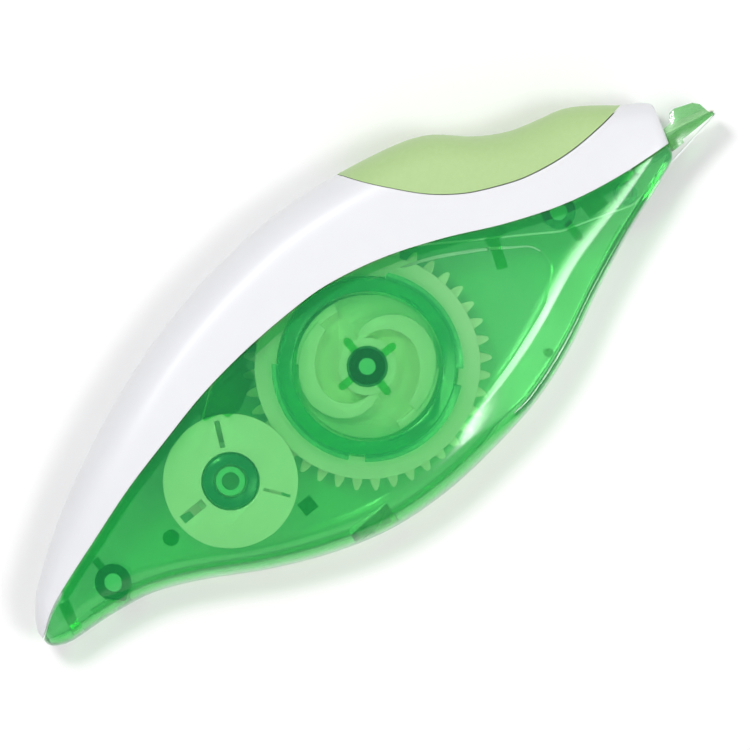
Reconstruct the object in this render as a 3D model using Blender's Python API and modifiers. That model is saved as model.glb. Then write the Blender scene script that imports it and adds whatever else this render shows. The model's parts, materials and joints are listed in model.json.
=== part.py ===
"""Correction tape roller: a geared supply reel and take-up reel in a clear two-part case.

The roller lies on its back face. X runs from the tail to the tip, Y towards the grip, Z up.
Sizes are written in millimetres and turned into metres by MM when an object is made.
"""

import math

import bmesh
import bpy
from mathutils import Matrix

MM = 0.001

# Case: length along X, thickness along Z, and the walls.
TAIL_X = -57.6
NOSE_X = 50.4
MID_Z = 7.5
HALF_THICKNESS = 7.5
CASE_WALL = 1.0
FIT_GAP = 0.3
TONGUE_THICKNESS = 1.0
TONGUE_ROOT = 1.2
TONGUE_HEIGHT = 2.4
TONGUE_START = -52
TONGUE_END = 44
TONGUE_LAP = CASE_WALL / 2 + FIT_GAP + TONGUE_THICKNESS / 2
TAIL_END_Y = -3.55
NOSE_END_Y = -2.05
TAIL_ROUNDING = 3.6
NOSE_ROUNDING = 1.4
TAIL_END_SCALE = 0.25
NOSE_END_SCALE = 0.84
NOSE_SLANT = 0.3
NOSE_SLANT_LENGTH = 3.0
UPPER_EDGE_WIDTH = 6.0
EDGE_POWER = 2.6
CORNER_STEPS = 5

# Crease along the nose, with a slanted facet between it and the lower side.
CREASE_START = 2
CREASE_FULL = 14
CREASE_SLOPE = 0.42
CREASE_SIDE = 0.25
SHOULDER_WIDTH = 3.0
SHOULDER_SHARE = 0.12
EDGE_SHARE = 0.42
SHOULDER_SLOPE = 0.085
SHOULDER_POINTS = (0.5, 1.0)

# Edge lines of the case, as (x, y) points that a smooth line is drawn through.
TOP_LINE = [(-58, -0.6), (-50, 5.25), (-44, 8.95), (-36, 12.95), (-28, 16.25), (-20, 18.85), (-12, 20.6),
            (-4, 21.6), (2, 21.85), (10, 21.25), (18, 19.85), (23, 18.5), (26, 16.95), (30, 13.45), (34, 11.1),
            (38, 9.85), (42, 8.75), (46, 6.1), (52, 1.0)]
BOTTOM_LINE = [(-58, -6.0), (-54, -6.25), (-48, -6.75), (-42, -7.9), (-36, -10.55), (-28, -15.05),
               (-20, -18.65), (-12, -21.05), (-4, -21.85), (4, -21.45), (14, -19.9), (22, -17.25),
               (30, -13.4), (38, -9.9), (46, -7.05), (52, -5.0)]
PARTING_LINE = [(-60, -4.6), (-57.5, -3.5), (-54, -1.25), (-50, 0.35), (-44, 2.35), (-36, 4.95), (-28, 6.95),
                (-20, 8.75), (-12, 9.75), (-4, 10.1), (2, 9.85), (10, 8.1), (18, 5.1), (26, 1.35),
                (34, -1.55), (42, -3.15), (52, -4.0)]
THICKNESS_LINE = [(-58, 4.4), (-48, 6.0), (-38, 7.1), (-28, 7.5), (-20, 7.5), (14, 7.5), (22, 7.5), (30, 7.1),
                  (40, 6.2), (52, 5.3)]
GRIP_LINE = [(11.9, 21.8), (14, 18.45), (16, 15.85), (20, 11.35), (24, 8.25), (28, 6.25), (32, 4.75),
             (38, 3.75), (44, 3.85), (48.3, 4.4)]
LOWER_EDGE_LINE = [(-60, 4.5), (0, 4.6), (10, 5.0), (22, 5.1), (30, 4.5), (39.5, 3.0), (45, 2.75), (52, 2.6)]
GRIP_SEAT_RIM = 1.5
ZONE_START = -62
ZONE_END = 60
ZONE_STEPS = 60

# Shallow window in each flat face, which fades out towards the tail.
WINDOW_LINE = [(3.5, -16.2), (8, -15.15), (14.9, -13.15), (23, -10.2), (24.3, -9.32), (26, -8.0),
               (27.14, -6.72), (27.26, -4.88), (26.5, -3.08), (24.2, -1.45), (21, 0.65), (15, 3.9), (8, 6.6),
               (3.5, 7.6)]
WINDOW_STEPS = 3
WINDOW_LEVEL = 7.22
WINDOW_LEAST = 0.16
WINDOW_CLEAR = 0.04
WINDOW_FADE_START = 3.5
WINDOW_FADE_END = 16
WINDOW_END = 29

# Gear pair.
MODULE = 0.8
SUPPLY_TEETH = 40
TAKEUP_TEETH = 20
PRESSURE_ANGLE = math.radians(20)
BACKLASH = 0.3
SUPPLY_X = -0.5
SUPPLY_Y = -1.95
CENTRE_LINE_TILT = math.radians(1.5)
CENTRE_DISTANCE = MODULE * (SUPPLY_TEETH + TAKEUP_TEETH) / 2
TAKEUP_X = SUPPLY_X - CENTRE_DISTANCE * math.cos(CENTRE_LINE_TILT)
TAKEUP_Y = SUPPLY_Y - CENTRE_DISTANCE * math.sin(CENTRE_LINE_TILT)
GEAR_BOTTOM = 2.7
GEAR_TOP = 4.5

# Tape layer and the pieces that turn in it.
TAPE_WIDTH = 5.0
TAPE_THICKNESS = 0.2
TAPE_BOTTOM = MID_Z - TAPE_WIDTH / 2
CORE_INNER = 10.1
CORE_OUTER = 11.9
CORE_TOP = 11.2
LIP_OUTER = 12.9
LIP_BOTTOM = 10.4
LIP_SPAN = math.radians(80)
COIL_INNER = CORE_OUTER + FIT_GAP
COIL_OUTER = 15.2
FLANGE_RADIUS = 9.1
FLANGE_BOTTOM = 10.6
FLANGE_TOP = 11.3
TAKEUP_CORE_INNER = 2.3
TAKEUP_CORE_OUTER = 3.65
LINER_COIL_OUTER = 5.4
CLUTCH_RADIUS = 9.7
CLUTCH_BOTTOM = GEAR_TOP + FIT_GAP
CLUTCH_PLATE = 1.0
CLUTCH_TOP = 9.4

# Posts of the case: x, y, radius.
HUB_RADIUS = 2.45
HUB_BORE = 1.2
HUB_CLEARANCE = 0.35
TAKEUP_POST_RADIUS = 1.95
TAIL_POST = (-45.2, -3.35, 2.45)
NOSE_POST = (32.5, -1.7, 2.3)
GUIDE_X = 41.2
GUIDE_Y = -5.35
GUIDE_RADIUS = 1.5
GUIDE_GAP = 0.15
GUIDE_PIN_RADIUS = 0.7
NOSE_GUIDE = (44.2, -0.1, 0.8)
LINER_GUIDES = [(9.6, 13.6, 1.0), (-8.6, 15.0, 1.0)]
FIN_WIDTH = 1.1
FRONT_DEPTH = 11.6

# Applicator.
TIP_X = 57.0
TIP_Y = -4.2
TIP_EDGE_RADIUS = 0.25
TIP_FLANGE_INNER = 2.8
TIP_FLANGE_OUTER = 3.4
TIP_FLANGE = [(49.9, -4.9), (50.4, -1.75), (52.1, -1.75), (52.8, -0.55), (53.4, -0.5), (55.8, -1.4),
              (56.5, -2.2), (56.7, -3.4), (57.0, -4.35), (51.8, -4.45), (51.6, -4.9)]
TIP_BLADE = [(44.0, -4.4), (44.0, -3.0), (52.0, -3.0), (57.1, -3.98), (57.24, -4.2), (57.0, -4.44), (44.0, -4.5)]
NOSE_OPENING = (46.0, 53.0, -7.4, -1.35)
TAPE_CHANNEL = (42.2, 47.0, -7.3, -5.0)

PARTS = bpy.data.collections.new("correction_tape_roller")
CUTTERS = bpy.data.collections.new("construction_shapes")
BOOLEANS = []

GREEN = (0.02, 0.42, 0.11)
GREEN_LIGHT = (0.25, 0.62, 0.22)
GRIP_GREEN = (0.50, 0.72, 0.30)
WHITE = (0.90, 0.90, 0.93)
TAPE_WHITE = (0.86, 0.87, 0.88)
LINER_TINT = (0.80, 0.78, 0.68)


def clear_scene():
    for item in list(bpy.data.objects):
        bpy.data.objects.remove(item, do_unlink=True)
    bpy.context.scene.collection.children.link(PARTS)
    bpy.context.scene.collection.children.link(CUTTERS)


def plastic(name, colour, roughness, alpha=1.0):
    material = bpy.data.materials.new(name)
    material.use_nodes = True
    shader = material.node_tree.nodes["Principled BSDF"]
    shader.inputs["Base Color"].default_value = (*colour, 1.0)
    shader.inputs["Roughness"].default_value = roughness
    shader.inputs["Metallic"].default_value = 0.0
    shader.inputs["Alpha"].default_value = alpha
    return material


def add_part(name, mesh, material):
    item = bpy.data.objects.new(name, mesh)
    item.data.materials.clear()
    item.data.materials.append(material)
    PARTS.objects.link(item)
    return item


def add_cutter(name, mesh):
    item = bpy.data.objects.new(name, mesh)
    item.display_type = "WIRE"
    item.hide_render = True
    CUTTERS.objects.link(item)
    return item


def combine(item, operation, *others):
    """Note a Boolean for later, so that the outlines are made before any solid is cut."""
    for other in others:
        BOOLEANS.append((item, operation, other))


def add_booleans():
    for item, operation, other in BOOLEANS:
        modifier = item.modifiers.new(f"{operation.lower()} {other.name}", "BOOLEAN")
        modifier.operation = operation
        modifier.object = other


def smooth_line(points, x):
    """Height at x of a smooth line through the points, with a tangent taken from its neighbours."""
    last = len(points) - 2
    i = max(0, min(last, sum(1 for p in points if p[0] <= x) - 1))

    def slope(k):
        a = points[max(k - 1, 0)]
        b = points[min(k + 1, len(points) - 1)]
        return (b[1] - a[1]) / (b[0] - a[0])

    (x0, y0), (x1, y1) = points[i], points[i + 1]
    span = x1 - x0
    t = (x - x0) / span
    return (y0 * (2 * t**3 - 3 * t**2 + 1) + y1 * (3 * t**2 - 2 * t**3)
            + span * slope(i) * (t**3 - 2 * t**2 + t) + span * slope(i + 1) * (t**3 - t**2))


def half_thickness(x):
    return min(HALF_THICKNESS, smooth_line(THICKNESS_LINE, x))


def end_scale(distance, rounding, smallest):
    """How far the case has opened out at a distance from one of its ends."""
    if distance >= rounding:
        return 1.0
    s = max(distance, 0.0) / rounding
    return smallest + (1 - smallest) * math.sqrt(1 - (1 - s) ** 2)


def edge_curve(across, depth, steps):
    """Quarter of a rounded edge, from the side (0, 0) to the flat face (across, depth)."""
    points = []
    for k in range(steps + 1):
        a = math.pi / 2 * k / steps
        u = 1 - math.cos(a) ** (2 / EDGE_POWER)
        points.append((across * u, depth * math.sin(a) ** (2 / EDGE_POWER)))
    return points


def fade(x, start, end):
    """Smooth rise from 0 at the start to 1 at the end."""
    t = min(max((x - start) / (end - start), 0.0), 1.0)
    return t * t * (3 - 2 * t)


def lower_edge(x, across, shoulder, depth, steps):
    """Lower edge of the section: rounded at the tail; at the nose a facet, a crease and a soft shoulder."""
    side = across * CREASE_SIDE
    rise = (across - side) * CREASE_SLOPE
    drop = shoulder * SHOULDER_SLOPE
    rounded = edge_curve(across, depth, steps)
    rounded += [(across + shoulder * t, depth) for t in SHOULDER_POINTS]
    facet = edge_curve(side, depth - drop - rise, steps - 1) + [(across, depth - drop)]
    facet += [(across + shoulder * t, depth - drop * (1 - t) ** 2) for t in SHOULDER_POINTS]
    w = fade(x, CREASE_START, CREASE_FULL)
    return [(u + (fu - u) * w, z + (fz - z) * w) for (u, z), (fu, fz) in zip(rounded, facet)]


def case_section(x, inset, steps):
    """Closed section of the case at x, set in by the wall, as (x, y, z) points from the lower edge."""
    tail = end_scale(x - TAIL_X, TAIL_ROUNDING, TAIL_END_SCALE)
    nose = end_scale(NOSE_X - x, NOSE_ROUNDING, NOSE_END_SCALE)
    low = TAIL_END_Y + (smooth_line(BOTTOM_LINE, x) - TAIL_END_Y) * tail
    low = NOSE_END_Y + (low - NOSE_END_Y) * nose + inset
    high = TAIL_END_Y + (smooth_line(TOP_LINE, x) - TAIL_END_Y) * tail
    high = NOSE_END_Y + (high - NOSE_END_Y) * nose - inset
    deep = half_thickness(x) * tail * nose - inset
    room = (high - low) * EDGE_SHARE
    across = min(smooth_line(LOWER_EDGE_LINE, x) - inset * 0.6, room)
    lower = lower_edge(x, across, min(SHOULDER_WIDTH, (high - low) * SHOULDER_SHARE), deep, steps)
    upper = edge_curve(min(UPPER_EDGE_WIDTH - inset * 0.6, room), deep, steps)
    ring = [(low + u, z) for u, z in lower]
    ring += [(high - u, z) for u, z in reversed(upper)]
    ring += [(high - u, -z) for u, z in upper[1:]]
    ring += [(low + u, -z) for u, z in reversed(lower[1:])]
    slant = NOSE_SLANT * max(0.0, (x - NOSE_X + NOSE_SLANT_LENGTH) / NOSE_SLANT_LENGTH) ** 2
    return [(x + slant * (y - NOSE_END_Y), y, MID_Z + z) for y, z in ring]


def case_body(name, inset, steps=CORNER_STEPS):
    """Closed solid of the case's outer shape, set in all round, as a loft of its sections."""
    start = TAIL_X + inset
    end = NOSE_X - inset
    stations = [start + TAIL_ROUNDING * s for s in (0.0, 0.04, 0.16, 0.4, 0.7)]
    first = TAIL_X + TAIL_ROUNDING + inset
    last = NOSE_X - NOSE_ROUNDING * 2 - inset
    count = 26
    stations += [first + (last - first) * k / count for k in range(count + 1)]
    stations += [end - NOSE_ROUNDING * s for s in (1.0, 0.45, 0.12, 0.0)]
    shape = bmesh.new()
    rings = []
    for x in stations:
        ring = [shape.verts.new([c * MM for c in point]) for point in case_section(x, inset, steps)]
        rings.append(ring)
    for near, far in zip(rings, rings[1:]):
        for k in range(len(near)):
            j = (k + 1) % len(near)
            shape.faces.new((near[k], near[j], far[j], far[k]))
    shape.faces.new(rings[0])
    shape.faces.new(list(reversed(rings[-1])))
    bmesh.ops.recalc_face_normals(shape, faces=shape.faces)
    mesh = bpy.data.meshes.new(name)
    shape.to_mesh(mesh)
    shape.free()
    return add_cutter(name, mesh)


def circle(x, y, radius, count=24, start=0.0):
    step = 2 * math.pi / count
    return [(x + radius * math.cos(start + step * k), y + radius * math.sin(start + step * k))
            for k in range(count)]


def sector(inner, outer, middle, span, count=10, x=0.0, y=0.0):
    """Outline of a piece of a ring about (x, y)."""
    angles = [middle - span / 2 + span * k / count for k in range(count + 1)]
    rim = [(x + outer * math.cos(a), y + outer * math.sin(a)) for a in angles]
    return rim + [(x + inner * math.cos(a), y + inner * math.sin(a)) for a in reversed(angles)]


def box_outline(x0, x1, y0, y1):
    return [(x0, y0), (x1, y0), (x1, y1), (x0, y1)]


def bar(x0, y0, x1, y1, width):
    """Outline of a straight bar between two points."""
    length = math.hypot(x1 - x0, y1 - y0)
    nx = -(y1 - y0) / length * width / 2
    ny = (x1 - x0) / length * width / 2
    return [(x0 + nx, y0 + ny), (x0 - nx, y0 - ny), (x1 - nx, y1 - ny), (x1 + nx, y1 + ny)]


def plate_mesh(name, loops, low, high, centre=(0.0, 0.0)):
    """Mesh of flat outlines, holes included, between two heights, measured from a centre."""
    curve = bpy.data.curves.new(name, "CURVE")
    curve.dimensions = "2D"
    curve.fill_mode = "BOTH"
    curve.extrude = (high - low) / 2 * MM
    for loop in loops:
        spline = curve.splines.new("POLY")
        spline.points.add(len(loop) - 1)
        for point, (x, y) in zip(spline.points, loop):
            point.co = ((x - centre[0]) * MM, (y - centre[1]) * MM, 0.0, 1.0)
        spline.use_cyclic_u = True
    item = bpy.data.objects.new(name, curve)
    CUTTERS.objects.link(item)
    item.location.z = (high + low) / 2 * MM
    bpy.context.view_layer.update()
    depsgraph = bpy.context.evaluated_depsgraph_get()
    mesh = bpy.data.meshes.new_from_object(item.evaluated_get(depsgraph))
    mesh.transform(item.matrix_world)
    bpy.data.objects.remove(item, do_unlink=True)
    shape = bmesh.new()
    shape.from_mesh(mesh)
    bmesh.ops.remove_doubles(shape, verts=shape.verts, dist=0.001 * MM)
    bmesh.ops.recalc_face_normals(shape, faces=shape.faces)
    shape.to_mesh(mesh)
    shape.free()
    mesh.name = name
    return mesh


def plate_cutter(name, loops, low, high):
    return add_cutter(name, plate_mesh(name, loops, low, high))


def turned_part(name, profile, material, count=48):
    """Ring turned about Z from a closed (radius, height) profile that runs down its outer side."""
    mesh = bpy.data.meshes.new(name)
    verts = [(r * MM, 0.0, z * MM) for r, z in profile]
    mesh.from_pydata(verts, [(k, (k + 1) % len(verts)) for k in range(len(verts))], [])
    item = add_part(name, mesh, material)
    screw = item.modifiers.new("turn", "SCREW")
    screw.angle = 2 * math.pi
    screw.steps = count
    screw.render_steps = count
    screw.use_merge_vertices = True
    screw.merge_threshold = 0.00001
    screw.use_smooth_shade = True
    return item


def ring_profile(inner, outer, low, high):
    return [(outer, high), (outer, low), (inner, low), (inner, high)]


def gear_outline(teeth, phase):
    """Involute tooth outline about the origin, with a tooth's middle at the phase angle."""
    pitch = MODULE * teeth / 2
    base = pitch * math.cos(PRESSURE_ANGLE)
    half_pitch = math.pi / (2 * teeth) - BACKLASH / (4 * pitch)
    root = pitch - 1.25 * MODULE
    radii = [root, max(base, root + 0.1), pitch, pitch + MODULE]

    def involute(angle):
        return math.tan(angle) - angle

    def half_angle(radius):
        pressure = math.acos(min(1.0, base / max(radius, base)))
        return half_pitch + involute(PRESSURE_ANGLE) - involute(pressure)

    outline = []
    for tooth in range(teeth):
        middle = phase + 2 * math.pi * tooth / teeth
        flank = [(radius, half_angle(radius)) for radius in radii]
        rising = [(radius, middle - half) for radius, half in flank]
        falling = [(radius, middle + half) for radius, half in reversed(flank)]
        outline += [(radius * math.cos(a), radius * math.sin(a)) for radius, a in rising + falling]
    return outline


def place(item, x, y):
    item.location = (x * MM, y * MM, 0.0)
    return item


def parting_zone(offset, far):
    """Outline of everything on one side of the parting line, out to the height far."""
    stations = [ZONE_START + (ZONE_END - ZONE_START) * k / ZONE_STEPS for k in range(ZONE_STEPS + 1)]
    edge = [(x, smooth_line(PARTING_LINE, x) + offset) for x in stations]
    return edge + [(ZONE_END, far), (ZONE_START, far)]


def band(line, below, above, x0, x1, count):
    """Outline of a strip that follows a line."""
    stations = [x0 + (x1 - x0) * k / count for k in range(count + 1)]
    lower = [(x, smooth_line(line, x) - below) for x in stations]
    return lower + [(x, smooth_line(line, x) + above) for x in reversed(stations)]


def grip_zone(grow):
    """Outline of the grip pad, from its lower line out past the case's top edge."""
    lower = [(x, smooth_line(GRIP_LINE, x) - grow) for x, _ in GRIP_LINE]
    first = (lower[0][0] - grow, 26.0)
    last = (lower[-1][0] + grow, lower[-1][1])
    return [(lower[0][0] - grow, lower[0][1])] + lower[1:-1] + [last, (last[0] + 0.6, 8.0), (56.0, 26.0), first]


def front_features():
    """Outlines of the ribs and posts inside the front shell, with the height that each starts from."""
    supply_fins = []
    for quarter in range(4):
        a = math.pi / 2 * quarter
        far = (SUPPLY_X + 4.8 * math.cos(a), SUPPLY_Y + 4.8 * math.sin(a))
        near = (SUPPLY_X + 1.8 * math.cos(a), SUPPLY_Y + 1.8 * math.sin(a))
        supply_fins.append((bar(*near, *far, FIN_WIDTH), 11.8))
    tail_x, tail_y, _ = TAIL_POST
    nose_x, nose_y, _ = NOSE_POST
    blocks = [
        (bar(tail_x, tail_y + 1.8, tail_x, tail_y + 3.9, 1.0), 9.0),
        (bar(tail_x, tail_y - 3.4, tail_x, tail_y - 1.8, 1.0), 9.0),
        (bar(-52.1, -1.4, -53.3, -5.6, 1.5), 9.0),
        (bar(nose_x, nose_y - 4.8, nose_x, nose_y - 1.8, FIN_WIDTH), FRONT_DEPTH),
        (box_outline(35.3, 38.4, -5.0, -2.6), 11.0),
        (bar(21.9, -3.0, 23.3, 0.8, 1.5), 11.8),
        (box_outline(22.3, 25.3, 0.4, 1.6), 11.9),
        ([(-22.2, 5.9), (-19.8, 5.3), (-19.4, 4.3), (-17.6, 4.1), (-13.1, 6.4), (-13.3, 8.9), (-22.2, 7.6)], 11.9),
        (circle(-35.4, -3.55, 1.1, 12), 9.0),
        (box_outline(-19.4, -17.3, -12.6, -10.6), 9.0),
        (circle(19.7, -15.6, 0.6, 10), 9.0),
        (box_outline(-16.2, -9.9, -20.6, -17.95), 9.0),
    ]
    return supply_fins + blocks


def curve_through(points, steps):
    """Points along a smooth curve through the given ones."""
    curve = []
    for k in range(len(points) - 1):
        a, b, c, d = (points[min(max(k + n, 0), len(points) - 1)] for n in (-1, 0, 1, 2))
        for t in (n / steps for n in range(steps)):
            curve.append(tuple(
                b[i] + 0.5 * t * (c[i] - a[i] + t * (2 * a[i] - 5 * b[i] + 4 * c[i] - d[i]
                                                    + t * (3 * (b[i] - c[i]) + d[i] - a[i]))) for i in (0, 1)))
    return curve + [points[-1]]


def window_floor(x):
    """Height of the window's floor above the middle of the case."""
    face = half_thickness(x)
    sunk = max(face - WINDOW_LEVEL, WINDOW_LEAST) * fade(x, WINDOW_FADE_START, WINDOW_FADE_END)
    return face - sunk + WINDOW_CLEAR * (1 - fade(x, WINDOW_FADE_START, WINDOW_FADE_END))


def window_cutter(front):
    """Shape of the shallow window: its outline, down to a floor that fades out towards the tail."""
    side = "front" if front else "back"
    window = plate_cutter(f"{side}_window", [curve_through(WINDOW_LINE, WINDOW_STEPS)], -5, 20)
    stations = range(int(WINDOW_FADE_START) - 1, WINDOW_END + 1)
    floor = [(x, window_floor(x)) for x in stations]
    profile = floor + [(WINDOW_END, 12), (stations[0], 12)]
    mesh = plate_mesh(f"{side}_window_floor", [profile], -30, 30)
    mesh.transform(Matrix.Rotation(math.pi / 2, 4, "X"))
    if not front:
        mesh.transform(Matrix.Rotation(math.pi, 4, "X"))
    mesh.transform(Matrix.Translation((0.0, 0.0, MID_Z * MM)))
    combine(window, "INTERSECT", add_cutter(mesh.name, mesh))
    return window


def case_shell(name, outer, inner, root_outer, tongue_outer, tongue_inner, front, material):
    """One half of the clear case: a hollow below the parting line, and a tongue that the cover laps."""
    half_gap = FIT_GAP / 2
    if front:
        low, high = MID_Z + half_gap, MID_Z + 12
    else:
        low, high = MID_Z - 12, MID_Z - half_gap
    side = "front" if front else "back"
    shell = add_part(name, outer.data.copy(), material)
    zone = plate_cutter(f"{side}_zone", [parting_zone(-half_gap, -30)], low, high)
    combine(shell, "DIFFERENCE", inner)
    combine(shell, "INTERSECT", zone)
    root_line = band(PARTING_LINE, TONGUE_ROOT, -half_gap - 0.05, TONGUE_START, TONGUE_END, 46)
    root = plate_cutter(f"{side}_tongue_root", [root_line], low + 0.1, high - 0.1)
    combine(root, "INTERSECT", root_outer)
    tongue_line = band(PARTING_LINE, TONGUE_ROOT - 0.4, TONGUE_HEIGHT, TONGUE_START + 0.4, TONGUE_END - 0.4, 45)
    tongue = plate_cutter(f"{side}_tongue", [tongue_line], low + 0.2, high - 0.2)
    combine(tongue, "INTERSECT", tongue_outer)
    combine(tongue, "UNION", root)
    combine(tongue, "DIFFERENCE", tongue_inner)
    combine(shell, "UNION", tongue)
    combine(shell, "DIFFERENCE", window_cutter(front))
    return shell


def post(name, x, y, radius, low, high, bore=0.0, count=24):
    loops = [circle(x, y, radius, count)]
    if bore:
        loops.append(circle(x, y, bore, count))
    return plate_cutter(name, loops, low, high)


def wall_height(x, front, lap=0.0):
    """A height inside the wall of a flat face at x, or inside the tongue, where a post can end."""
    depth = half_thickness(x) - CASE_WALL / 2 - lap
    return MID_Z + depth if front else MID_Z - depth


def build_front_shell(shell, root_outer):
    combine(shell, "UNION", post("front_hub", SUPPLY_X, SUPPLY_Y, HUB_RADIUS, MID_Z + 0.6, 14.4, HUB_BORE))
    for (x, y, radius), lap in ((TAIL_POST, 0.0), (NOSE_POST, TONGUE_LAP)):
        top = wall_height(x, True, lap)
        combine(shell, "UNION", post(f"front_post_{x}", x, y, radius, MID_Z + 0.6, top, HUB_BORE))
    for k, (outline, low) in enumerate(front_features()):
        rib = plate_cutter(f"front_rib_{k}", [outline], low, 2 * MID_Z + 1)
        combine(rib, "INTERSECT", root_outer)
        combine(shell, "UNION", rib)


def build_back_shell(shell):
    supply_post = (SUPPLY_X, SUPPLY_Y, HUB_RADIUS)
    for (x, y, radius), lap in ((supply_post, 0.0), (TAIL_POST, 0.0), (NOSE_POST, TONGUE_LAP)):
        low = wall_height(x, False, lap)
        column = post(f"back_post_{x}", x, y, radius, low, MID_Z + 0.3)
        pin = post(f"back_pin_{x}", x, y, HUB_BORE - 0.25, MID_Z - 1, MID_Z + 3, count=16)
        combine(column, "UNION", pin)
        combine(shell, "UNION", column)
    sleeve = post("takeup_post", TAKEUP_X, TAKEUP_Y, TAKEUP_POST_RADIUS, wall_height(TAKEUP_X, False), 11.0, 1.2)
    combine(shell, "UNION", sleeve)
    spindle = post("guide_pin", GUIDE_X, GUIDE_Y, GUIDE_PIN_RADIUS, wall_height(GUIDE_X, False), 11.4, count=16)
    combine(shell, "UNION", spindle)


def build_cover(outer, inner, root_outer, lap_outer, lap_inner, material):
    """White cover over the top of both shells, sunk where the grip sits."""
    cover = add_part("spine_cover", outer.data.copy(), material)
    zone = plate_cutter("cover_zone", [parting_zone(FIT_GAP / 2, 30)], -5, 20)
    combine(cover, "DIFFERENCE", inner)
    combine(cover, "INTERSECT", zone)
    for x, y, radius in [NOSE_GUIDE] + LINER_GUIDES:
        guide = post(f"liner_guide_{x}", x, y, radius, wall_height(x, False), wall_height(x, True), count=16)
        combine(cover, "UNION", guide)
    seat = plate_cutter("grip_seat", [grip_zone(GRIP_SEAT_RIM)], -5, 20)
    combine(seat, "INTERSECT", root_outer)
    combine(seat, "DIFFERENCE", lap_inner)
    pocket = plate_cutter("grip_pocket", [grip_zone(FIT_GAP)], -6, 21)
    combine(pocket, "DIFFERENCE", lap_outer)
    combine(cover, "UNION", seat)
    combine(cover, "DIFFERENCE", pocket)
    return cover


def build_grip(outer, inner, material):
    """Soft pad over the top edge, as thick as the case's wall."""
    grip = add_part("thumb_grip", outer.data.copy(), material)
    combine(grip, "DIFFERENCE", inner)
    combine(grip, "INTERSECT", plate_cutter("grip_zone", [grip_zone(0.0)], -5, 20))


def bearing_ring(name, x, y, inner, outer, low, high, material, count=48):
    return place(turned_part(name, ring_profile(inner, outer, low, high), material, count), x, y)


def build_supply_gear(material):
    loops = [gear_outline(SUPPLY_TEETH, math.pi + CENTRE_LINE_TILT), circle(0, 0, HUB_RADIUS + HUB_CLEARANCE)]
    gear = add_part("supply_gear", plate_mesh("supply_gear", loops, GEAR_BOTTOM, GEAR_TOP), material)
    return place(gear, SUPPLY_X, SUPPLY_Y)


def clutch_arm(turn):
    """Outline of one spring arm: it leaves the hub, sweeps round and ends in a shoe at the rim."""
    inner_side = []
    outer_side = []
    steps = 12
    for k in range(steps + 1):
        s = k / steps
        a = turn + math.radians(70 - 150 * s)
        middle = 3.6 + 4.6 * math.sin(math.pi / 2 * min(1.0, 1.6 * s))
        width = 1.5 + 0.9 * math.sin(math.pi * s)
        inner_side.append(((middle - width / 2) * math.cos(a), (middle - width / 2) * math.sin(a)))
        outer_side.append(((middle + width / 2) * math.cos(a), (middle + width / 2) * math.sin(a)))
    return outer_side + list(reversed(inner_side))


def build_clutch(material):
    """White clutch disc: a plate and hub ring with two sprung arms that rub inside the core."""
    bore = HUB_RADIUS + HUB_CLEARANCE
    plate = [circle(0, 0, CLUTCH_RADIUS, 48), circle(0, 0, bore)]
    clutch = add_part("clutch_disc", plate_mesh("clutch_disc", plate, CLUTCH_BOTTOM,
                                                CLUTCH_BOTTOM + CLUTCH_PLATE), material)
    place(clutch, SUPPLY_X, SUPPLY_Y)
    low = CLUTCH_BOTTOM + CLUTCH_PLATE / 2
    hub = plate_cutter("clutch_hub", [circle(0, 0, 3.9), circle(0, 0, bore)], low, CLUTCH_TOP)
    hub.location = clutch.location
    combine(clutch, "UNION", hub)
    for k in range(2):
        arm = plate_cutter(f"clutch_arm_{k}", [clutch_arm(math.pi * k)], low + 0.1, CLUTCH_TOP - 0.4)
        shoe = plate_cutter(f"clutch_shoe_{k}", [sector(8.4, 9.6, math.pi * k - math.radians(70),
                                                         math.radians(60))], low + 0.2, CLUTCH_TOP - 0.7)
        for piece in (arm, shoe):
            piece.location = clutch.location
            combine(clutch, "UNION", piece)
    return clutch


def build_supply_core(material):
    """Green core: a tube with snap lips that hold the coil."""
    core = bearing_ring("supply_core", SUPPLY_X, SUPPLY_Y, CORE_INNER, CORE_OUTER, TAPE_BOTTOM, CORE_TOP, material)
    for k, degrees in enumerate((0, 180, 270)):
        outline = sector(CORE_OUTER - 0.6, LIP_OUTER, math.radians(degrees), LIP_SPAN)
        lip = plate_cutter(f"core_lip_{k}", [outline], LIP_BOTTOM, CORE_TOP - 0.2)
        lip.location = core.location
        combine(core, "UNION", lip)
    return core


def build_takeup_gear(material):
    loops = [gear_outline(TAKEUP_TEETH, CENTRE_LINE_TILT + math.pi / TAKEUP_TEETH),
             circle(0, 0, TAKEUP_CORE_INNER)]
    gear = add_part("takeup_gear", plate_mesh("takeup_gear", loops, GEAR_BOTTOM, GEAR_TOP), material)
    return place(gear, TAKEUP_X, TAKEUP_Y)


def build_takeup_flange(material):
    """Pale disc in front of the liner coil, with one open slot and two narrow ones."""
    loops = [circle(0, 0, FLANGE_RADIUS, 48), circle(0, 0, TAKEUP_CORE_OUTER + FIT_GAP)]
    for degrees, width in ((64.5, 0.7), (180.5, 1.2), (-52.5, 0.4)):
        a = math.radians(degrees)
        loops.append(bar(4.6 * math.cos(a), 4.6 * math.sin(a), 8.3 * math.cos(a), 8.3 * math.sin(a), width))
    disc = add_part("takeup_flange", plate_mesh("takeup_flange", loops, FLANGE_BOTTOM, FLANGE_TOP), material)
    return place(disc, TAKEUP_X, TAKEUP_Y)


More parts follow.
